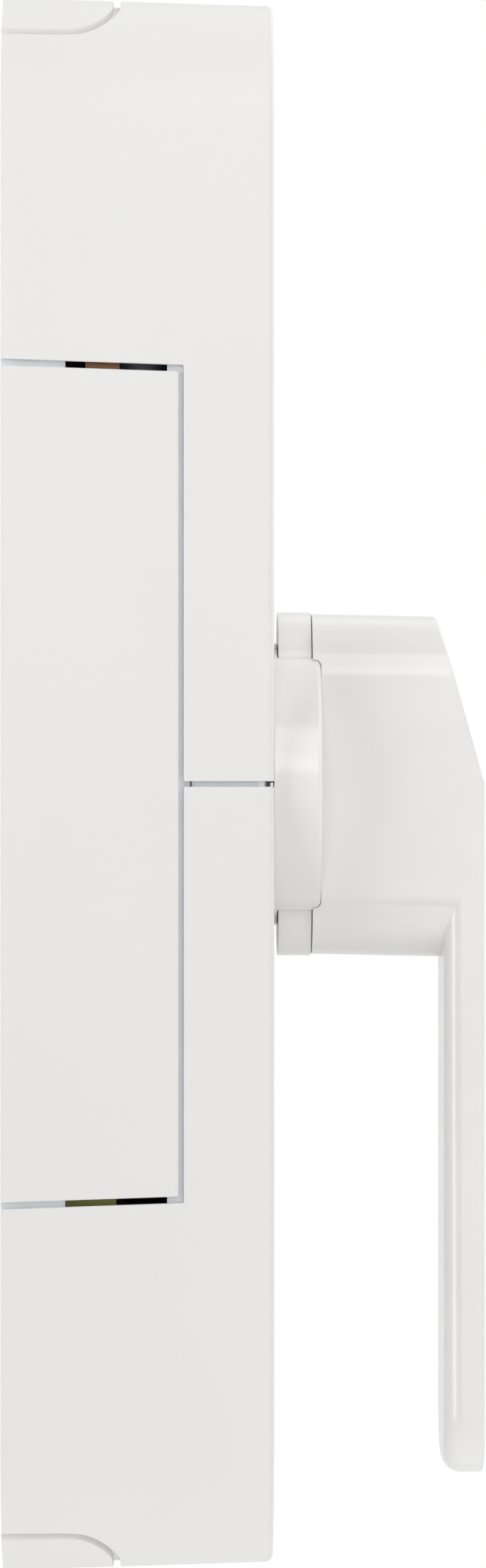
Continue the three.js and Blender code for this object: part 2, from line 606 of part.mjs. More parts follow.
// Motor
const motorAxis = [WORM_X, WORM_DEPTH];
const motorHead = cut(
  post(MOTOR.radius, CASE.high + RUNNING, MOTOR.headTo, motorAxis), post(2.3, 20, 38, motorAxis));
add('motor_gearhead', motorHead, zinc);
add('motor_can', post(MOTOR.radius, MOTOR.headTo + RUNNING, MOTOR.canTo, motorAxis), motorPaint);
const terminals = [-3, 3].map((x) => block(
  [WORM_X + x - 0.6, WORM_X + x + 0.6],
  [MOTOR.capTo - 1, MOTOR.capTo + 2.5],
  [WORM_DEPTH - 0.3, WORM_DEPTH + 0.3]));
const motorCap = join(post(MOTOR.radius - 0.6, MOTOR.canTo + RUNNING, MOTOR.capTo, motorAxis), ...terminals);
add('motor_end_cap', motorCap, darkPlastic);
add('motor_strap', motorStrap(), steel);
addScrew('motor_strap_screw', countersunkScrew(2.2, 1.0, 0.9, 7, 0.6), -6.4, 27.8, 63);

// Control board on the side wall, its chips facing inwards
const boardInside = BOARD.x + BOARD.thickness;
const onBoard = (height, z, depth) => block([boardInside + 0.3, boardInside + 0.3 + height], z, depth);
const boardBlank = block([BOARD.x, boardInside], [BOARD.low, BOARD.high], [BOARD.depthFrom, BOARD.depthTo]);
add('control_board', boardBlank, boardGreen);
add('microcontroller', onBoard(1.2, [-70, -60], [8.5, 18.5]), darkPlastic);
add('motor_driver_chip', onBoard(1.4, [-90, -83], [10, 17]), darkPlastic);
add('battery_plug_socket', onBoard(4.6, [-56, -46], [9, 14.5]), clearPlastic);
add('buffer_capacitor', post(3, -108, -98, [boardInside + 3.4, 14], 16), cellSleeve);

// Radio board behind the front wall, with the switch and the lamp
add('radio_board', block([-27.6, 24], [60, 121], [44.6, 46.2]), boardGreen);
add('radio_shield', block([3, 21], [72, 94], [41.8, 44.3]), nickel);
add('push_switch', block([-3, 3], [BUTTON.z - 3, BUTTON.z + 3], [46.5, 48]), darkPlastic);
add('status_led', block([-1, 1], [LIGHT.z - 1.2, LIGHT.z + 1.2], [46.5, 47.5]), clearPlastic);
add('light_guide', rod(LIGHT.radius, 47.8, BODY.depth, [0, LIGHT.z], 16), clearPlastic);
const ribbon = new THREE.Shape([
  [-22.2, -33.6], [-15.8, -33.6], [-15.8, 121], [-44.3, 121], [-44.3, 112], [-22.2, 112],
].map(([y, z]) => new THREE.Vector2(y, z)));
add('board_ribbon', sidePrism(ribbon, -28.3, -28.0), polyimide);

// Charging socket at the bottom end
add('charge_board', block([-9, 9], [-146, -132], [38.2, 39.4]), boardGreen);
const chargeShell = cut(chargePort(0, -148.3, -140.6), chargePort(-0.4, -149, -142));
const chargeTongue = block([-3.2, 3.2], [-147.4, -141.8], [CHARGE.depth - 0.35, CHARGE.depth + 0.35]);
add('charge_socket', join(chargeShell, chargeTongue), nickel);

// Battery
CELL.xs.forEach((x, i) => add(
  i ? 'battery_cell_right' : 'battery_cell_left',
  post(CELL.radius, CELL.low, CELL.high, [x, CELL.depth]), cellSleeve));
add('battery_holder', batteryHolder(), darkPlastic);
add('battery_link_lower', block([-14, 15.6], [CELL.low - 1.1, CELL.low - 0.4], [16, 24]), nickel);
add('battery_link_upper', block([-14, 15.6], [CELL.high + 0.4, CELL.high + 1.1], [16, 24]), nickel);
const batteryLead = lead(
  [[4, 25.6, -49.6], [0, 27, -45], [-12, 22, -41], [-23, 13, -42], [-24, 11.8, -45.3]], 0.8);
add('battery_lead', batteryLead, redInsulation);
const motorLead = lead(
  [[-16, 27.4, 91], [-14, 31, 93.5], [-12, 37, 90], [-12, 40, 84], [-12, 43.8, 81]], 0.7);
add('motor_lead', motorLead, redInsulation);

// What turns with the handle
const turning = new THREE.Group();
turning.name = 'handle_group';
assembly.add(turning);
add('lever_handle', leverHandle(), whiteLacquer, turning);
add('handle_spindle', handleSpindle(), steel, turning);
add('spindle_pin', crossPin(CROSS_PIN.radius, CROSS_PIN.halfLength), steel, turning);
add('output_hub', outputHub(), zinc, turning);
add('worm_wheel', wormWheel(), brass, turning);
add('clutch_washer', ring(11, HUB.radius + RUNNING, 20.9, WHEEL.from - 0.6), steel, turning);
add('hub_circlip', ring(9.6, HUB.radius + RUNNING, 19.6, 20.6), steel, turning);
add('position_magnet', ring(10, HUB.radius + RUNNING, 34, 37), magnetGrey, turning);
add('position_sensor', block([11.2, 14.6], [-5, 5], [38.3, 39.5]), boardGreen);

// What turns with the motor
const drive = new THREE.Group();
drive.position.set(WORM_X, -WORM_DEPTH, 0);
drive.name = 'worm_group';
assembly.add(drive);
add('worm_shaft', wormShaft(), steel, drive);
add('motor_shaft', post(2, 23.3, 37.5, [0, 0], 16), steel, drive);
const coupling = cut(post(4.4, 20.4, 28.6, [0, 0]), post(2.6 + RUNNING, 19, 30, [0, 0]));
add('shaft_coupling', coupling, brass, drive);

// The push button
add('push_button', pushButton(), white);

export default assembly;
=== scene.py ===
import math

import bmesh
import bpy
from mathutils import Matrix, Vector


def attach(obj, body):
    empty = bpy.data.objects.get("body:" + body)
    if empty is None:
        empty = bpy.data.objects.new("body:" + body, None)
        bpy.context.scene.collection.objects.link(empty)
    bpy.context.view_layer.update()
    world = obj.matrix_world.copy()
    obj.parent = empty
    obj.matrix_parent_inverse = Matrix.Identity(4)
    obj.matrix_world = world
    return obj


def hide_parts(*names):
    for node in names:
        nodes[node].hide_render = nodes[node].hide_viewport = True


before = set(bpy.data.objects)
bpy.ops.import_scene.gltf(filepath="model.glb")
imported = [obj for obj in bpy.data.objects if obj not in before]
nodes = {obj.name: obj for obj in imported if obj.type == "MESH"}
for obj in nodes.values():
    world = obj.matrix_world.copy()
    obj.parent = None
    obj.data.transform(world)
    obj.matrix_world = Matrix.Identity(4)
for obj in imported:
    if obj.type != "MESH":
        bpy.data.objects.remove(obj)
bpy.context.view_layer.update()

mm = 0.001  # shapes are drawn in millimetres and brought to metres when a piece is finished
whole = 400.0  # larger than the object, for cutters that reach right past it


# Shader helpers: a wired value that does maths, a node tree that takes any node, and a material made of one.

class Wire:
    def __init__(self, sheet, socket):
        self.sheet = sheet
        self.socket = socket

    def maths(self, operation, *others):
        return self.sheet.add("ShaderNodeMath", {"operation": operation}, [self, *others])

    def __add__(self, other): return self.maths("ADD", other)
    __radd__ = __add__
    def __sub__(self, other): return self.maths("SUBTRACT", other)
    def __rsub__(self, other): return self.sheet.add("ShaderNodeMath", {"operation": "SUBTRACT"}, [other, self])
    def __mul__(self, other): return self.maths("MULTIPLY", other)
    __rmul__ = __mul__
    def __lt__(self, other): return self.maths("LESS_THAN", other)
    def smoothed(self, low, high):
        sockets = {"Value": self, "From Min": low, "From Max": high}
        return self.sheet.add("ShaderNodeMapRange", {"interpolation_type": "SMOOTHSTEP"}, sockets)


class Sheet:
    def __init__(self, tree):
        self.tree = tree

    def set(self, socket, value):
        if isinstance(value, Wire):
            self.tree.links.new(value.socket, socket)
        elif value is not None:
            socket.default_value = value

    def add(self, kind, settings=None, inputs=None, output=0):
        node = self.tree.nodes.new(kind)
        for key, value in (settings or {}).items():
            setattr(node, key, value)
        pairs = inputs.items() if isinstance(inputs, dict) else enumerate(inputs or [])
        for key, value in pairs:
            self.set(node.inputs[key], value)
        return Wire(self, node.outputs[output])

    def place(self, scale):
        coordinates = self.add("ShaderNodeTexCoord", output="Object")
        return self.add("ShaderNodeMapping", {}, {"Vector": coordinates, "Scale": scale})

    def noise(self, scale, detail=2.0, roughness=0.5, stretch=(1, 1, 1)):
        sockets = {"Vector": self.place(stretch), "Scale": scale, "Detail": detail, "Roughness": roughness}
        return self.add("ShaderNodeTexNoise", {}, sockets)

    def mix(self, factor, first, second):
        sockets = {"Factor": factor, 6: first, 7: second}
        return self.add("ShaderNodeMix", {"data_type": "RGBA"}, sockets, output=2)


class Paint(Sheet):
    def __init__(self, name, **shader):
        self.material = bpy.data.materials.new(name)
        self.material.use_nodes = True
        super().__init__(self.material.node_tree)
        self.shader = self.tree.nodes["Principled BSDF"]
        for socket, value in shader.items():
            self.set(self.shader.inputs[socket.replace("_", " ")], value)

    def feed(self, socket, value):
        self.set(self.shader.inputs[socket], value)

    def bump(self, height, strength, distance):
        sockets = {"Height": height, "Strength": strength, "Distance": distance}
        self.feed("Normal", self.add("ShaderNodeBump", {}, sockets))


def tone(red, green, blue):
    return (red, green, blue, 1.0)


# Moulded plastic: a spark-eroded grain, faint flow marks and a slight unevenness of gloss.
def mouldedPlastic(name, colour, grainSize=0.00035, grain=0.25, gloss=0.42, spread=0.012, coat=0.0):
    sheet = Paint(name, Coat_Weight=coat, Coat_Roughness=0.15)
    flow = sheet.noise(14, 3, 0.55, stretch=(1, 1, 0.35))
    cloud = sheet.noise(55, 2)
    fineGrain = sheet.noise(1 / grainSize, 2, 0.6)
    coarseGrain = sheet.noise(0.3 / grainSize, 1)
    darker = tone(*(channel * (1 - spread * 3) for channel in colour))
    sheet.feed("Base Color", sheet.mix(flow.smoothed(0.35, 0.7) * 0.6 + cloud * 0.3, tone(*colour), darker))
    sheet.feed("Roughness", gloss - 0.04 + cloud * 0.05 + fineGrain * 0.05)
    sheet.bump(fineGrain * 0.7 + coarseGrain * 0.3, grain, grainSize * 0.12)
    return sheet.material


# Powder coat on a casting: soft orange peel with a satin film over it.
def powderCoat(name, colour, gloss=0.36, coat=0.9):
    sheet = Paint(name, Coat_Weight=coat, Coat_Roughness=0.16)
    peel = sheet.noise(620, 2, 0.5)
    ripple = sheet.noise(1900, 2, 0.6)
    cloud = sheet.noise(40, 2)
    darker = tone(*(channel * 0.965 for channel in colour))
    sheet.feed("Base Color", sheet.mix(cloud.smoothed(0.3, 0.75), tone(*colour), darker))
    sheet.feed("Roughness", gloss + peel * 0.05 + ripple * 0.03)
    sheet.bump(peel * 0.7 + ripple * 0.3, 0.22, 0.00006)
    return sheet.material


# Turned, rolled or plated metal: drawn scratches along one way and cloudy plating.
def platedMetal(name, colour, gloss=0.3, stretch=(1, 1, 0.03), wear=0.15):
    sheet = Paint(name, Metallic=1.0)
    scratches = sheet.noise(3200, 3, 0.6, stretch=stretch)
    cloud = sheet.noise(120, 4, 0.6)
    darker = tone(*(channel * (1 - wear * 1.6) for channel in colour))
    worn = cloud.smoothed(0.35, 0.7) * 0.7 + scratches * 0.3
    sheet.feed("Base Color", sheet.mix(worn, tone(*colour), darker))
    sheet.feed("Roughness", gloss + cloud * wear + scratches * 0.12)
    sheet.bump(scratches, 0.2, 0.00003)
    return sheet.material


# Bare die casting: sandy skin with darker flow marks.
def dieCastMetal(name, colour):
    sheet = Paint(name, Metallic=0.9)
    skin = sheet.noise(900, 4, 0.65)
    flow = sheet.noise(60, 5, 0.6, stretch=(1, 1, 0.4))
    darker = tone(*(channel * 0.72 for channel in colour))
    sheet.feed("Base Color", sheet.mix(flow.smoothed(0.35, 0.7), tone(*colour), darker))
    sheet.feed("Roughness", 0.42 + skin * 0.2)
    sheet.bump(skin, 0.45, 0.0001)
    return sheet.material


finishes = {
    "shell": mouldedPlastic("whiteMoulding", (0.725, 0.72, 0.712), gloss=0.46),
    # Painted cool shade: the seam flange and tongue are the housing's own white moulding, tinted lighter and
    # bluer here for where they show down the seams.
    "flange": mouldedPlastic("seamShadeTintedMoulding", (0.76, 0.79, 0.82), gloss=0.5),
    "lever": powderCoat("whitePowderCoat", (0.745, 0.737, 0.733), gloss=0.28),
    "steel": platedMetal("zincPlatedSteel", (0.62, 0.63, 0.65)),
    "spring": platedMetal("springSteel", (0.5, 0.5, 0.52), gloss=0.25, stretch=(0.03, 1, 1)),
    "casting": dieCastMetal("bareDieCasting", (0.55, 0.56, 0.57)),
    "brass": platedMetal("machinedBrass", (0.72, 0.55, 0.24), gloss=0.22),
    "nickel": platedMetal("nickelPlate", (0.72, 0.70, 0.66), gloss=0.2),
    "dark": mouldedPlastic("blackMoulding", (0.03, 0.032, 0.035), gloss=0.5, spread=0.08),
    "motor": powderCoat("slateMotorPaint", (0.15, 0.165, 0.19), coat=0.3),
    "board": mouldedPlastic("oliveSolderMask", (0.33, 0.345, 0.03), grainSize=0.0006,
                            gloss=0.35, spread=0.08, coat=0.2),
    "film": mouldedPlastic("polyimideFilm", (0.4, 0.14, 0.012), grainSize=0.002,
                           gloss=0.3, spread=0.06, coat=0.2),
    "sleeve": mouldedPlastic("shrinkSleeve", (0.025, 0.028, 0.034), grainSize=0.002, gloss=0.28, spread=0.05),
    "clear": mouldedPlastic("frostedLightGuide", (0.72, 0.78, 0.82), gloss=0.3),
    "lead": mouldedPlastic("redInsulation", (0.45, 0.02, 0.015), grainSize=0.0008, gloss=0.45, spread=0.05),
    "magnet": dieCastMetal("sinteredMagnet", (0.2, 0.2, 0.21)),
}


# Solids in millimetres. A solid is a temporary object; a piece is a finished one.

def solid(bm):
    bmesh.ops.recalc_face_normals(bm, faces=bm.faces)
    mesh = bpy.data.meshes.new("solid")
    bm.to_mesh(mesh)
    bm.free()
    made = bpy.data.objects.new("solid", mesh)
    bpy.context.scene.collection.objects.link(made)
    return made


def discard(*things):
    for thing in things:
        mesh = thing.data
        bpy.data.objects.remove(thing)
        bpy.data.meshes.remove(mesh)


def settle(thing):
    graph = bpy.context.evaluated_depsgraph_get()
    mesh = bpy.data.meshes.new_from_object(thing.evaluated_get(graph))
    thing.modifiers.clear()
    old = thing.data
    thing.data = mesh
    bpy.data.meshes.remove(old)


def combine(operation, target, *tools):
    for tool in tools:
        change = target.modifiers.new("combine", "BOOLEAN")
        change.operation = operation
        change.solver = "EXACT"
        change.object = tool
    settle(target)
    discard(*tools)
    return target


def cut(target, *tools): return combine("DIFFERENCE", target, *tools)
def join(target, *tools): return combine("UNION", target, *tools)
def common(target, *tools): return combine("INTERSECT", target, *tools)


def copied(thing):
    twin = thing.copy()
    twin.data = thing.data.copy()
    bpy.context.scene.collection.objects.link(twin)
    return twin


# Merges doubled points and flat neighbours that the cutting leaves.
def cleaned(bm):
    bmesh.ops.remove_doubles(bm, verts=bm.verts, dist=0.002)
    bmesh.ops.dissolve_limit(bm, angle_limit=math.radians(0.2), verts=bm.verts, edges=bm.edges)


def finished(name, thing, finish, body, replaces, edge=0.0, edgeSegments=2, sharp=32):
    thing.name = name
    thing.data.name = name
    bm = bmesh.new()
    bm.from_mesh(thing.data)
    cleaned(bm)
    bmesh.ops.triangulate(bm, faces=bm.faces)
    bmesh.ops.scale(bm, vec=(mm, mm, mm), verts=bm.verts)
    for face in bm.faces:
        face.smooth = True
    bm.to_mesh(thing.data)
    bm.free()
    thing.data.materials.clear()
    thing.data.materials.append(finishes[finish])
    if edge:
        rounding = thing.modifiers.new("edges", "BEVEL")
        rounding.width = edge * mm
        rounding.segments = edgeSegments
        rounding.profile = 0.5
        rounding.limit_method = "ANGLE"
        rounding.angle_limit = math.radians(sharp)
        rounding.use_clamp_overlap = False
        settle(thing)
    thing.data.set_sharp_from_angle(angle=math.radians(sharp))
    evenShade = thing.modifiers.new("shade", "WEIGHTED_NORMAL")
    evenShade.keep_sharp = True
    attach(thing, body)
    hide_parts(*replaces)
    return thing


# Rounds corners of the one flat face in a mesh, and gives the face back.
def roundCorners(bm, verts, corner, segments):
    bmesh.ops.bevel(bm, geom=verts, offset=corner, segments=segments, profile=0.5, affect="VERTICES",
                    material=-1)
    return bm.faces[:][0]


def roundedOutline(bm, halfX, halfZ, corner, depth, segments=20, middle=(0, 0)):
    x, z = middle
    corners = [(x - halfX, z - halfZ), (x + halfX, z - halfZ), (x + halfX, z + halfZ), (x - halfX, z + halfZ)]
    verts = [bm.verts.new((cx, -depth, cz)) for cx, cz in corners]
    face = bm.faces.new(verts)
    if corner:
        face = roundCorners(bm, verts, corner, segments)
    return face


def pushed(bm, face, distance):
    grown = bmesh.ops.extrude_face_region(bm, geom=[face])
    verts = [item for item in grown["geom"] if isinstance(item, bmesh.types.BMVert)]
    bmesh.ops.translate(bm, vec=distance, verts=verts)


def roundEdges(bm, test, offset, segments=5):
    edges = [edge for edge in bm.edges if all(test(vert.co) for vert in edge.verts)]
    bmesh.ops.bevel(bm, geom=edges, offset=offset, segments=segments, profile=0.5, affect="EDGES", material=-1)


# A rounded rectangle in the front view, from one depth to another, with optional rounding at either end.
def slab(halfX, halfZ, corner, start, stop, backEdge=0.0, frontEdge=0.0, middle=(0, 0), segments=20):
    bm = bmesh.new()
    face = roundedOutline(bm, halfX, halfZ, corner, start, segments, middle)
    pushed(bm, face, (0, start - stop, 0))
    if frontEdge:
        roundEdges(bm, lambda co: co.y < -stop + 0.001, frontEdge)
    if backEdge:
        roundEdges(bm, lambda co: co.y > -start - 0.001, backEdge, 10)
    return solid(bm)


def addBox(bm, xs, zs, depths):
    size = (xs[1] - xs[0], depths[1] - depths[0], zs[1] - zs[0])
    centre = ((xs[0] + xs[1]) / 2, -(depths[0] + depths[1]) / 2, (zs[0] + zs[1]) / 2)
    bmesh.ops.create_cube(bm, size=1, matrix=Matrix.Translation(centre) @ Matrix.Diagonal((*size, 1)))


def block(xs, zs, depths):
    bm = bmesh.new()
    addBox(bm, xs, zs, depths)
    return solid(bm)


def addRod(bm, radius, length, place, segments):
    bmesh.ops.create_cone(bm, cap_ends=True, segments=segments, radius1=radius, radius2=radius,
                          depth=length, matrix=place)


# Along the depth.
def rod(radius, start, stop, middle=(0, 0), segments=64):
    bm = bmesh.new()
    centre = Matrix.Translation((middle[0], -(start + stop) / 2, middle[1]))
    place = centre @ Matrix.Rotation(math.pi / 2, 4, "X")
    addRod(bm, radius, stop - start, place, segments)
    return solid(bm)


# Upright.
def post(radius, low, high, middle, segments=48):
    bm = bmesh.new()
    place = Matrix.Translation((middle[0], -middle[1], (low + high) / 2))
    addRod(bm, radius, high - low, place, segments)
    return solid(bm)


# A flat outline given as (depth, height) points, pushed across the width.
def crosswise(points, left, right):
    bm = bmesh.new()
    face = bm.faces.new([bm.verts.new((left, -depth, z)) for depth, z in points])
    pushed(bm, face, (right - left, 0, 0))
    return solid(bm)


# Spins a closed outline of (radius, depth) points about the depth axis, or about the height axis.
def turned(points, middle=(0, 0), steps=96, upright=False):
    bm = bmesh.new()
    axis = (0, 0, 1) if upright else (0, 1, 0)
    shape = [bm.verts.new((r, 0, d) if upright else (r, -d, 0)) for r, d in points]
    edges = [bm.edges.new((shape[i], shape[(i + 1) % len(shape)])) for i in range(len(shape))]
    closing = [edge for edge in edges if any(abs(vert.co.x) > 1e-6 for vert in edge.verts)]
    spare = [edge for edge in edges if edge not in closing]
    if spare:
        bmesh.ops.delete(bm, geom=spare, context="EDGES_FACES")
    profile = [vert for vert in bm.verts if vert.is_valid] + closing
    bmesh.ops.spin(bm, geom=profile, cent=(0, 0, 0), axis=axis, angle=math.tau, steps=steps, use_merge=True)
    bmesh.ops.remove_doubles(bm, verts=bm.verts, dist=1e-4)
    shift = (middle[0], -middle[1], 0) if upright else (middle[0], 0, middle[1])
    bmesh.ops.translate(bm, vec=shift, verts=bm.verts)
    return solid(bm)


# The housing's outer form: a long rounded rectangle whose sides lean in towards the front.

body = {
    "halfWidth": 32.0, "halfHeight": 150.0, "depth": 51.1, "corner": 27.0, "frontEdge": 1.2,
    "wall": 1.6, "lean": math.tan(math.radians(1.85)), "running": 0.3, "seam": 1.0, "rebate": 0.95,
}


def outerForm(inset):
    bm = bmesh.new()
    face = roundedOutline(bm, body["halfWidth"], body["halfHeight"], body["corner"], -6, 28)
    front = body["depth"] - inset
    pushed(bm, face, (0, -6 - front, 0))
    roundEdges(bm, lambda co: co.y < 0.001 - front, body["frontEdge"], 6)
    straightX = body["halfWidth"] - body["corner"]
    straightZ = body["halfHeight"] - body["corner"]
    for vert in bm.verts:
        centre = Vector((max(-straightX, min(straightX, vert.co.x)), vert.co.y,
                         max(-straightZ, min(straightZ, vert.co.z))))
        shrink = 1 - (inset - body["lean"] * vert.co.y) / body["corner"]
        vert.co = centre + (vert.co - centre) * shrink
    return solid(bm)


def skin(outer, inner):
    return cut(outerForm(outer), outerForm(inner), block((-whole, whole), (-whole, whole), (-whole, 0)))


def sideRegion(halfHeight, start, stop, inside):
    def lean(depth): return halfHeight - body["lean"] * depth
    outline = [(start, -lean(start)), (start, lean(start)), (stop, lean(stop)), (stop, -lean(stop))]
    return join(crosswise(outline, -60, -inside), crosswise(outline, inside, 60))


panel = {
    "halfHeight": 78.3, "trim": 0.22, "depth": 33.2, "wall": 2.0, "inside": 20.0, "reach": 2.2, "lap": 2.6,
    "slotFrom": 12.1, "slotTo": 31.1, "slotLow": 76.6, "slotHigh": 84.0, "flangeOut": 1.25, "flangeIn": 2.4,
}
tab = {
    "halfWidth": 24.2, "taper": 0.04, "depth": 20.9, "corner": 8.2, "wall": 2.2, "sideGap": 1.1,
    "frontGap": 1.4, "floorOut": 1.2, "floorIn": 2.4,
}
plate = {"halfWidth": 23.0, "halfHeight": 66.0, "corner": 6.0, "depth": 2.0, "hole": 9.0,
         "fixing": 2.7, "spacing": 43.0, "screws": [(17, 45), (-5, 45), (17, -38), (-17, -38)]}
worm = {"x": -19.0, "depth": 26.0}
acrossAll, heightAll = (-60, 60), (-170, 170)  # past the housing on every side, for cutters


def tabRegion(halfWidth, depth, corner):
    parts = []
    for low, high in ((118, 170), (-170, -118)):
        bm = bmesh.new()
        back, front = halfWidth + tab["taper"] * 8, halfWidth - tab["taper"] * depth
        plan = [(-back, 8), (-front, -depth), (front, -depth), (back, 8)]
        verts = [bm.verts.new((x, y, low)) for x, y in plan]
        bm.faces.new(verts)
        pushed(bm, roundCorners(bm, verts[1:3], corner, 14), (0, 0, high - low))
        parts.append(solid(bm))
    return join(*parts)


def slots():
    return [block(xs, zs, (panel["slotFrom"], panel["slotTo"]))
            for xs in ((-60, 2 - panel["inside"]), (panel["inside"] - 2, 60))
            for zs in ((panel["slotLow"], panel["slotHigh"]), (-panel["slotHigh"], -panel["slotLow"]))]


def makeBase():
    run = body["running"]
    backWall = common(outerForm(body["wall"] + run), block(acrossAll, heightAll, (0, 4.8)))
    top = panel["halfHeight"] - panel["trim"]
    sides = common(skin(0, panel["wall"]), sideRegion(top, -1, panel["depth"], panel["inside"]))
    flangeTop = panel["halfHeight"] + body["seam"] + panel["reach"]
    flangeFront = panel["depth"] + body["seam"] + panel["reach"] - 1
    band = sideRegion(flangeTop, -1, flangeFront, panel["inside"])
    flange = cut(common(skin(panel["flangeOut"], panel["flangeIn"]), band), *slots())
    tabs = common(skin(0, tab["wall"]), tabRegion(tab["halfWidth"], tab["depth"], tab["corner"]))
    cradle = cut(join(block((-27.4, -3.5), (60, 66), (4, 24)), block((-27.4, -12), (34, 40), (4, 24))),
                 post(8.1, 30, 70, (worm["x"], worm["depth"])))
    posts = [rod(3, 4, 44.2, (18, z)) for z in (66, 116)]
    holes = [rod(1.8, -1, 9, place, 24) for place in plate["screws"]]
    sinks = [rod(3.3, 3.1, 9, place, 32) for place in plate["screws"]]
    pocket = slab(plate["halfWidth"] + run, plate["halfHeight"] + run, plate["corner"],
                  -1, plate["depth"] + run)
    base = join(backWall, sides, tabs, cradle, *posts)
    cut(base, pocket, rod(plate["hole"], -1, 9), rod(1.35, 16, 30, (-6.4, 63), 20), *holes, *sinks)
    finished("baseHousing", base, "shell", "housing", ["base_housing"], edge=0.18)
    # The flange takes the seam tint: painted cool shade on the housing's white moulding.
    finished("jointFlange", flange, "flange", "housing", ["base_housing"], edge=0.1)
    reach = tab["sideGap"] + 2
    around = tabRegion(tab["halfWidth"] + reach, tab["depth"] + reach, tab["corner"] + reach)
    floors = common(skin(tab["floorOut"], tab["floorIn"]), around)
    finished("tabFloors", floors, "shell", "housing", ["base_housing"])


def coverShell():
    top, front = panel["halfHeight"] + body["seam"], panel["depth"] + body["seam"]
    lap = sideRegion(top + panel["lap"], -8, front + panel["lap"], 15)
    opening = sideRegion(top, -8, front, 15)
    side = tab["sideGap"]
    tabGap = tabRegion(tab["halfWidth"] + side, tab["depth"] + tab["frontGap"], tab["corner"] + side)
    rebate = common(outerForm(body["rebate"]), lap)
    return cut(skin(0, body["wall"]), rebate, opening, tabGap, rod(25.0, 40, 60, segments=96))


tongue = {"outer": 1.25, "inner": 2.05, "top": 3.6, "root": -6.0, "from": 35.7, "to": 49.6}
button = {"z": 98.0, "radius": 6.5, "flange": 7.7}
light = {"z": 113.0, "radius": 1.6}
charge = {"depth": 36.0, "halfWidth": 4.5, "halfDepth": 1.6}


def chargePort(growth, low, high):
    halfX, halfY = charge["halfWidth"] + growth, charge["halfDepth"] + growth
    bm = bmesh.new()
    corners = [(-halfX, -halfY), (halfX, -halfY), (halfX, halfY), (-halfX, halfY)]
    verts = [bm.verts.new((x, y - charge["depth"], low)) for x, y in corners]
    bm.faces.new(verts)
    pushed(bm, roundCorners(bm, verts, halfY * 0.999, 10), (0, 0, high - low))
    return solid(bm)


def makeCovers():
    run = body["running"]
    shell = coverShell()
    upper = cut(copied(shell), block(acrossAll, (-170, body["seam"] / 2), (-1, 60)))
    lap = common(outerForm(body["rebate"]), block(acrossAll, (-1, tongue["top"] + run), (30, 60)))
    buttonHole = rod(button["radius"] + run, 40, 60, (0, button["z"]))
    lightHole = rod(light["radius"] + run, 40, 60, (0, light["z"]), 32)
    cut(upper, lap, buttonHole, lightHole)
    lower = cut(shell, block(acrossAll, (-body["seam"] / 2, 170), (-1, 60)), chargePort(run, -170, -140))
    ring = cut(outerForm(tongue["outer"]), outerForm(tongue["inner"]))
    heights, depths = (tongue["root"], tongue["top"]), (tongue["from"], tongue["to"])
    lip = common(ring, join(block((-60, -25.4), heights, depths), block((25.4, 60), heights, depths)))
    corners = [block(xs, heights, (48, 49.3)) for xs in ((-29.4, -25.4), (25.4, 29.4))]
    join(lip, *corners)
    lips = [block(xs, (-0.8, 0.3), (50.35, 50.9)) for xs in ((-29.7, -25.4), (25.4, 29.7))]
    join(lower, *lips)
    finished("upperCover", upper, "shell", "housing", ["upper_cover"], edge=0.22)
    finished("lowerCover", lower, "shell", "housing", ["lower_cover"], edge=0.22)
    # The tongue takes the seam tint: painted cool shade on the cover's white moulding.
    finished("coverTongue", lip, "flange", "housing", ["lower_cover"], edge=0.1)


# Collar, rosette and lever handle.

collar = {"radius": 27.0, "bottom": 51.13, "top": 60.2, "edge": 0.6, "spigot": 24.7, "seat": 44.3, "bore": 8.0}
rose = {"halfWidth": 12.75, "halfHeight": 32.9, "corner": 12.4, "from": 52.2, "to": 58.58, "fit": 0.12}
lever = {
    "halfWidth": 14.0, "neckHalf": 32.55, "neckDrop": 0.02, "neckCorner": 12.4, "neckFrom": 58.7, "front": 91.4,
    "slopeDepth": 82.4, "slopeTop": 32.2, "tip": 131.7, "tipCorner": 12.0, "barFrom": 83.6, "barEdge": 3.7,
    "barTop": -4.0, "edge": 0.6, "socketTo": 82.3, "socketHalf": 3.8, "seatFit": 0.07, "pinDepth": 70.0,
}


def fixingHoles(radius, start, stop):
    half = plate["spacing"] / 2
    return [rod(radius, start, stop, (0, half), 40), rod(radius, start, stop, (0, -half), 40)]


def makeCollar():
    c = collar
    outline = [(c["bore"], c["seat"]), (c["spigot"], c["seat"]), (c["spigot"], c["bottom"]),
               (c["radius"], c["bottom"]), (c["radius"], c["top"] - c["edge"]),
               (c["radius"] - c["edge"], c["top"]), (c["bore"], c["top"])]
    ring = turned(outline, steps=128)
    fit = rose["fit"]
    channel = slab(rose["halfWidth"] + fit, rose["halfHeight"] + fit, rose["corner"] + fit, rose["from"] - fit,
                   c["top"] + 1, segments=24)
    cut(ring, channel, *fixingHoles(2.8, 40, 60))
    finished("collarRing", ring, "lever", "housing", ["collar_ring"], edge=0.14)


def makeRosette():
    r = rose
    rosette = slab(r["halfWidth"], r["halfHeight"], r["corner"], r["from"], r["to"], segments=24)
    counterbore = [(0, 40), (2.8, 40), (2.8, r["to"] - 3.2), (5.2, r["to"] - 3.2), (5.2, 70), (0, 70)]
    half = plate["spacing"] / 2
    holes = [turned(counterbore, (0, z), 48) for z in (half, -half)]
    cut(rosette, rod(collar["bore"], 40, 70), *holes)
    finished("rosettePlate", rosette, "lever", "housing", ["rosette"], edge=0.15)


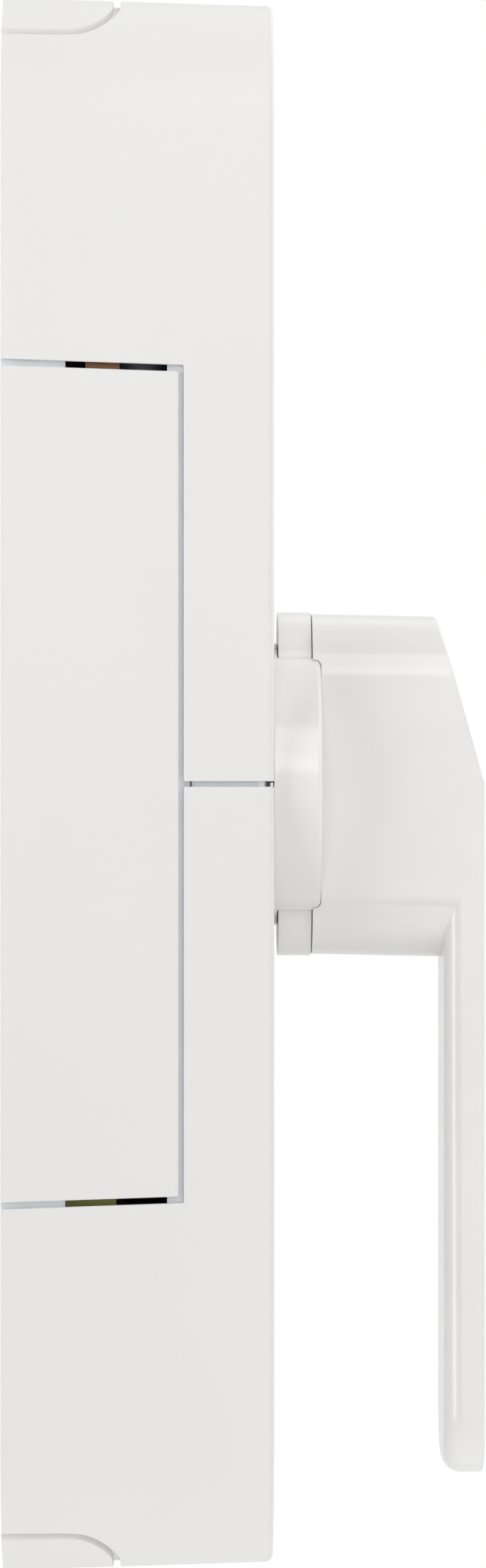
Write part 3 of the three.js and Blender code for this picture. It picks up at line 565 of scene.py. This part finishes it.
def makeLever():
    v = lever
    neck = slab(v["halfWidth"], v["neckHalf"], v["neckCorner"], v["neckFrom"], v["front"], segments=24)
    for vert in neck.data.vertices:  # the neck leans down a little towards the front
        vert.co.z += v["neckDrop"] * (vert.co.y + v["neckFrom"])
    rise = v["slopeTop"]
    run = v["front"] - v["slopeDepth"]
    top = (v["slopeDepth"] - run * 8 / rise, rise + 8)
    beyond = v["front"] + 20
    wedge = crosswise([(v["front"], 0), (beyond, 0), (beyond, 60), (top[0], 60), top], -40, 40)
    hiddenFoot = block((-40, 40), (-60, -18), (v["barFrom"] + 4, 120))
    cut(neck, wedge, hiddenFoot)
    middle = (0, (v["barTop"] - v["tip"]) / 2)
    bar = slab(v["halfWidth"], (v["tip"] + v["barTop"]) / 2, v["tipCorner"], v["barFrom"], v["front"],
               backEdge=v["barEdge"], middle=middle, segments=24)
    handle = join(neck, bar)
    roundFrontRim(handle, v["edge"])
    half, fit, c = v["socketHalf"], v["seatFit"], collar
    seat = turned([(0, 50), (c["radius"] + fit, 50), (c["radius"] + fit, c["top"] - c["edge"] + fit),
                   (c["radius"] - c["edge"] + fit, c["top"] + fit), (0, c["top"] + fit)], steps=128)
    cut(handle, seat, block((-half, half), (-half, half), (50, v["socketTo"])))
    finished("leverHandle", handle, "lever", "handle", ["lever_handle"], edge=0.15)


# Rounds the whole rim of the front, the sloping part included, in one run.
def roundFrontRim(thing, radius):
    bm = bmesh.new()
    bm.from_mesh(thing.data)
    cleaned(bm)
    front = {face for face in bm.faces if face.normal.y < -0.9}
    rim = [edge for edge in bm.edges if sum(face in front for face in edge.link_faces) == 1]
    bmesh.ops.bevel(bm, geom=rim, offset=radius, segments=5, profile=0.5, affect="EDGES", material=-1)
    bm.to_mesh(thing.data)
    bm.free()


# Small fittings and the drive. Depths run forwards from the back plane.

def makeScrew(name, node, place, top, length, head, shank, headDepth):
    x, z = place
    pitch = shank * 0.4
    start, end = top - headDepth - 0.4, top - length
    turns = int((start - end - shank) / pitch)
    outline = [(0, top), (head - 0.15, top), (head, top - 0.12), (head, top - 0.3), (shank, top - headDepth)]
    for turn in range(turns):
        crest = start - turn * pitch
        outline += [(shank, crest), (shank * 0.78, crest - pitch * 0.6)]
    outline += [(shank * 0.7, end + shank * 0.5), (shank * 0.35, end), (0, end)]
    screw = turned(outline, place, 32)
    wide, narrow, floor = head * 0.58, head * 0.13, top - headDepth * 0.6
    recess = join(block((x - wide, x + wide), (z - narrow, z + narrow), (floor, top + 1)),
                  block((x - narrow, x + narrow), (z - wide, z + wide), (floor, top + 1)))
    cut(screw, recess)
    finished(name, screw, "steel", "housing", [node])


def makeScrews():
    for index, place in enumerate(plate["screws"], 1):
        makeScrew(f"plateScrew{index}", f"plate_screw_{index}", place, 4.7, 4.5, 2.9, 1.4, 1.3)
    half = plate["spacing"] / 2
    for side, z in (("upper", half), ("lower", -half)):
        name = f"rosetteScrew{side.title()}"
        makeScrew(name, f"rosette_screw_{side}", (0, z), rose["to"] - 0.35, 24, 4.7, 2.4, 2.6)
    for index, place in enumerate([(16, 24), (16, -24), (-7.5, 24), (-7.5, -24)], 1):
        makeScrew(f"gearCaseScrew{index}", f"gear_case_screw_{index}", place, 43.8, 34, 1.6, 1.4, 0.6)
    makeScrew("motorStrapScrew", "motor_strap_screw", (-6.4, 63), 27.8, 7, 2.2, 1.0, 0.9)


def makePlate():
    sheet = slab(plate["halfWidth"], plate["halfHeight"], plate["corner"], 0, plate["depth"])
    cut(sheet, rod(plate["hole"], -1, 5), *fixingHoles(plate["fixing"], -1, 5))
    cut(sheet, *[rod(1.5, -1, 5, place, 30) for place in plate["screws"]])
    finished("mountingPlate", sheet, "steel", "housing", ["mounting_plate"], edge=0.15)


def makeButton():
    face = body["depth"] + 0.2
    radius, flange = button["radius"], button["flange"]
    rim = [(radius - 0.6 * (1 - math.cos(turn)), face - 0.6 * (1 - math.sin(turn)))
           for turn in (math.radians(18 * step) for step in range(6))]
    dish = [(radius * share, face - 0.3 * (1 - share * share / 0.64)) for share in (0.8, 0.6, 0.4, 0.2, 0)]
    foot = [(0, 48.6), (flange, 48.6), (flange, 49.2), (radius, 49.2)]
    cap = turned([*foot, *rim, *dish], (0, button["z"]), 96)
    finished("buttonCap", cap, "shell", "button", ["push_button"])


def makeLightGuide():
    radius, face = light["radius"], body["depth"]
    dome = [(radius * math.cos(turn), face - 0.35 + 0.35 * math.sin(turn))
            for turn in (math.radians(15 * step) for step in range(7))]
    foot = [(0, 47.8), (radius * 0.8, 47.8), (radius * 0.8, 48.6), (radius, 48.8)]
    guide = turned([*foot, *dome], (0, light["z"]), 48)
    finished("lightPipe", guide, "clear", "housing", ["light_guide"])


drive = {
    "hub": 7.0, "seat": 8.0, "flange": 10.5, "from": 1.2, "to": 56.5, "wheelFrom": 22.6, "wheelTo": 29.4,
    "socket": 3.8, "spindle": 3.5, "spindleFrom": 20.3, "spindleTo": 82.0, "pinHole": 1.8,
}
motor = {"radius": 7.8, "headFrom": 30.7, "headTo": 52.0, "canFrom": 52.3, "canTo": 84.0, "capTo": 88.0}


def makeHub():
    d = drive
    low, high, chamfer = d["wheelFrom"] - 0.3, d["wheelTo"] + 0.3, 0.4
    hub, flange, collarTop = d["hub"], d["flange"], high + 2.2
    outline = [(2, d["from"]), (hub - chamfer, d["from"]), (hub, d["from"] + chamfer), (hub, low),
               (d["seat"], low), (d["seat"], high), (flange - chamfer, high), (flange, high + chamfer),
               (flange, collarTop - chamfer), (flange - chamfer, collarTop), (hub, collarTop),
               (hub, d["to"] - chamfer), (hub - chamfer, d["to"]), (2, d["to"])]
    half = d["socket"]
    driveHub = cut(turned(outline), block((-half, half), (-half, half), (-1, 70)))
    finished("squareDriveHub", driveHub, "casting", "handle", ["output_hub"])
    bar = slab(d["spindle"], d["spindle"], 0.5, d["spindleFrom"], d["spindleTo"], frontEdge=0.6, segments=3)
    cut(bar, crossPost(d["pinHole"], 12))
    finished("squareSpindle", bar, "steel", "handle", ["handle_spindle"])
    finished("crossPin", crossPost(1.5, 10.5), "steel", "handle", ["spindle_pin"])


def crossPost(radius, reach):
    bm = bmesh.new()
    place = Matrix.Translation((0, -lever["pinDepth"], 0)) @ Matrix.Rotation(math.pi / 2, 4, "Y")
    addRod(bm, radius, 2 * reach, place, 40)
    roundEdges(bm, lambda co: co.x > reach - 0.001, 0.3, 3)
    roundEdges(bm, lambda co: co.x < 0.001 - reach, 0.3, 3)
    return solid(bm)


# The motor stands on its gearhead: stacked gear stages, a can with rolled ends, and a moulded cap.
def makeMotor():
    m = motor
    centre = (worm["x"], worm["depth"])
    radius, lip = m["radius"], 0.35
    stages = [(2.35, m["headFrom"])]
    low = m["headFrom"]
    for high in (35.5, 41.0, 46.5, m["headTo"]):
        stages += [(radius - 0.3, low), (radius, low + 0.3), (radius, high - 0.5), (radius - 0.3, high - 0.2),
                   (radius - 0.3, high)]
        low = high
    head = turned([*stages, (2.35, m["headTo"])], centre, 72, upright=True)
    finished("gearheadStages", head, "casting", "housing", ["motor_gearhead"])
    low, high = m["canFrom"], m["canTo"]
    can = [(0, low), (radius - 1.2, low), (radius, low + 1.2), (radius, low + 3), (radius - lip, low + 3.3),
           (radius - lip, high - 2.3), (radius, high - 2), (radius, high - 0.4), (radius - 0.4, high),
           (radius - 1.4, high), (radius - 1.6, high - 0.4), (0, high - 0.4)]
    finished("motorCan", turned(can, centre, 72, upright=True), "motor", "housing", ["motor_can"])
    cap = [(0, 84.3), (radius - 1.7, 84.3), (radius - 0.9, 84.7), (radius - 0.9, m["capTo"] - 0.8),
           (radius - 1.7, m["capTo"]), (2.4, m["capTo"]), (2.1, m["capTo"] - 0.5), (0, m["capTo"] - 0.5)]
    endCap = turned(cap, centre, 72, upright=True)
    tags = [block((worm["x"] + x - 0.6, worm["x"] + x + 0.6), (m["capTo"] - 1, m["capTo"] + 2.5), (25.7, 26.3))
            for x in (-3, 3)]
    finished("motorEndCap", join(endCap, *tags), "dark", "housing", ["motor_end_cap"])


cell = {"radius": 9.2, "low": -117.0, "high": -52.0, "depth": 20.2}


# A sleeved cell, its crimped shoulder, and the bare metal showing at each end.
def makeCell(side, x):
    c = cell
    radius, low, high = c["radius"], c["low"], c["high"]
    centre = (x, c["depth"])
    bore, crown = radius * 0.7, radius * 0.86
    inside = [(bore, low + 1.4), (bore, high - 1.4)]
    shoulder = [(bore, high - 0.5), (crown, high - 0.25), (radius - 0.3, high - 0.6), (radius, high - 1.2),
                (radius, high - 2.6), (radius - 0.35, high - 3.1), (radius - 0.35, high - 3.9),
                (radius, high - 4.4)]
    foot = [(radius, low + 0.9), (radius - 0.25, low + 0.35), (crown, low + 0.12), (bore, low + 0.3)]
    sleeve = turned([*inside, *shoulder, *foot], centre, 72, upright=True)
    finished(f"cellSleeve{side.title()}", sleeve, "sleeve", "housing", [f"battery_cell_{side}"])
    core = bore - 0.02
    ends = [(0, low), (core - 0.5, low), (core, low + 0.5), (core, high - 0.9), (core - 0.4, high - 0.6),
            (3.4, high - 0.6), (3.0, high - 0.05), (2.7, high), (0, high)]
    metal = turned(ends, centre, 56, upright=True)
    finished(f"cellEnds{side.title()}", metal, "nickel", "housing", [f"battery_cell_{side}"])


# A circuit board lying in a plane across the width or across the depth, with rows of small parts on one face.
def makeBoard(name, node, corners, holes, partBoxes):
    low, high = Vector(corners[0]), Vector(corners[1])
    blank = block((low.x, high.x), (low.z, high.z), (low.y, high.y))
    cut(blank, *holes)
    finished(name, blank, "board", "housing", [node], edge=0.08)
    for label, finish, boxes in partBoxes:
        parts = bmesh.new()
        for box in boxes:
            addBox(parts, *box)
        finished(f"{name}{label}", solid(parts), finish, "housing", [node], edge=0.06)


def makeBoards():
    chipRows = [((-26.6, -26.1), (z, z + 1.6), (depth, depth + 0.8))
                for z in range(-124, -92, 4) for depth in (8.0, 11.5, 18.5)]
    chipRows += [((-26.6, -26.15), (z, z + 1.0), (depth, depth + 0.5))
                 for z in range(-80, -72, 3) for depth in (8.5, 12.5, 16.5)]
    pads = [((-26.62, -26.45), (z, z + 1.6), (9.5, 12.5)) for z in range(-44, -36, 3)]
    legs = [((-26.6, -26.35), (-69.6 + 0.8 * step, -69.3 + 0.8 * step), (7.3, 19.7)) for step in range(12)]
    makeBoard("controlBoard", "control_board", [(-28.2, 6, -128), (-26.6, 21.6, -34)], [],
              [("Chips", "dark", chipRows), ("Pads", "nickel", pads + legs)])
    backParts = [((x, x + 1.8), (z, z + 1.0), (44.0, 44.6)) for x in (-20, -15, -10) for z in range(66, 92, 5)]
    joints = [((x, x + 1.2), (z, z + 0.4), (44.3, 44.6)) for x in (2.0, 21.0) for z in range(74, 92, 2)]
    makeBoard("radioBoard", "radio_board", [(-27.6, 44.6, 60), (24, 46.2, 121)],
              [rod(1.6, 40, 50, (18, z), 32) for z in (66, 116)],
              [("Chips", "dark", backParts), ("Pads", "nickel", joints)])
    makeBoard("chargeBoard", "charge_board", [(-9, 38.2, -146), (9, 39.4, -132)], [],
              [("Pads", "nickel", [((x, x + 1.2), (-136, -134), (37.95, 38.2)) for x in (-6, -3, 0, 3, 6)])])


print("housing pieces")
makeBase()
makeCovers()
print("front pieces")
makeCollar()
makeRosette()
makeLever()
makePlate()
makeScrews()
makeButton()
makeLightGuide()
print("inner pieces")
makeHub()
makeMotor()
makeCell("left", -8.8)
makeCell("right", 10.4)
makeBoards()

# The solids with no piece of their own keep their shapes and take a finish.

finishOf = {
    "steel": ["worm_bearing_", "motor_shaft", "worm_shaft"],
    "spring": ["motor_strap", "clutch_washer", "hub_circlip"],
    "casting": ["gear_case_rear", "gear_case_front"],
    "brass": ["hub_bush_", "worm_wheel", "shaft_coupling"],
    "dark": ["microcontroller", "motor_driver_chip", "push_switch", "battery_holder"],
    "board": ["position_sensor"],
    "film": ["board_ribbon"],
    "sleeve": ["buffer_capacitor"],
    "nickel": ["battery_link_", "radio_shield", "charge_socket"],
    "clear": ["battery_plug_socket", "status_led"],
    "lead": ["battery_lead", "motor_lead"],
    "magnet": ["position_magnet"],
}
for finish, names in finishOf.items():
    for name, thing in nodes.items():
        if any(name.startswith(start) for start in names):
            thing.data.materials.clear()
            thing.data.materials.append(finishes[finish])

# Stage, light and camera.

stage = {"floorDrop": -0.42, "floorSize": 2.6, "ambient": 0.05, "zenith": 0.95, "ground": 0.36, "front": 1.15,
         "beyond": 0.8, "rearSide": 3.4, "facing": 1.2}


def makeStage():
    bm = bmesh.new()
    place = Matrix.Translation((0, 0, stage["floorDrop"]))
    bmesh.ops.create_grid(bm, x_segments=2, y_segments=2, size=stage["floorSize"] / 2, matrix=place)
    mesh = bpy.data.meshes.new("floor")
    bm.to_mesh(mesh)
    bm.free()
    floor = bpy.data.objects.new("floor", mesh)
    bpy.context.scene.collection.objects.link(floor)
    pale = Paint("paleFloor", Roughness=0.85)
    pale.feed("Base Color", pale.mix(pale.noise(3, 2), tone(0.86, 0.86, 0.86), tone(0.82, 0.82, 0.82)))
    mesh.materials.append(pale.material)
    makeStudio()


# The studio is white where it is looked at. As a light it has one soft panel facing the handle's side, one
# beside the wall and a paler front, with dimmer gaps between them that draw the lever's rounded edges.
def makeStudio():
    world = bpy.data.worlds.new("studio")
    bpy.context.scene.world = world
    world.use_nodes = True
    studio = Sheet(world.node_tree)
    background = studio.tree.nodes["Background"]
    direction = studio.add("ShaderNodeTexCoord", output="Generated")
    split = studio.add("ShaderNodeSeparateXYZ", {}, [direction]).socket.node
    across, depth, height = (Wire(studio, split.outputs[index]) for index in range(3))
    overhead = height.smoothed(0.55, 0.95) * (stage["zenith"] - stage["ambient"])
    underneath = (0 - height).smoothed(0.1, 0.6) * (stage["ground"] - stage["ambient"])
    inFront = (0 - depth).smoothed(0.2, 1.0) * stage["front"]
    strip = depth.smoothed(0.18, 0.06) * depth.smoothed(-0.45, -0.2)
    facing = across.smoothed(-0.9, -0.95) * strip * stage["facing"]
    rearSide = depth.smoothed(0.55, 0.8) * (across < 0.2) * (1 - height.smoothed(0.3, 0.7)) * stage["rearSide"]
    beyond = across.smoothed(0.2, 0.7) * stage["beyond"]
    level = overhead + underneath + inFront + beyond + rearSide + facing + stage["ambient"]
    seen = studio.add("ShaderNodeLightPath", output="Is Camera Ray")
    studio.set(background.inputs["Strength"], level * (1 - seen) + seen)
    background.inputs["Color"].default_value = (1, 1, 1, 1)


def makeLight(name, place, target, size, power):
    data = bpy.data.lights.new(name, "AREA")
    data.shape = "RECTANGLE"
    data.size, data.size_y = size
    data.energy = power
    lamp = bpy.data.objects.new(name, data)
    bpy.context.scene.collection.objects.link(lamp)
    lamp.location = place
    lamp.rotation_euler = (Vector(target) - Vector(place)).to_track_quat("-Z", "Y").to_euler()


camera = {"distance": 1.105, "side": -0.0308, "height": 0.0, "lens": 132.15, "shift": 0.0494}


def makeCamera():
    data = bpy.data.cameras.new("camera")
    data.lens = camera["lens"]
    data.sensor_width = 36
    data.sensor_fit = "AUTO"
    data.shift_x = camera["shift"]
    data.clip_start = 0.01
    eye = bpy.data.objects.new("camera", data)
    bpy.context.scene.collection.objects.link(eye)
    eye.location = (-camera["distance"], camera["side"], camera["height"])
    eye.rotation_euler = (math.pi / 2, 0, -math.pi / 2)
    bpy.context.scene.camera = eye


print("stage")
makeStage()
makeLight("key", (-0.72, -0.62, 0.66), (0, 0, 0.05), (0.7, 0.5), 2.2)
makeLight("tall", (-0.96, -0.04, 0.52), (0, -0.05, 0), (0.4, 0.72), 1.9)
makeLight("low", (-0.05, -0.03, -0.4), (0, -0.02, 0), (0.5, 0.5), 0.28)
makeCamera()
bpy.context.scene.view_settings.view_transform = "Standard"
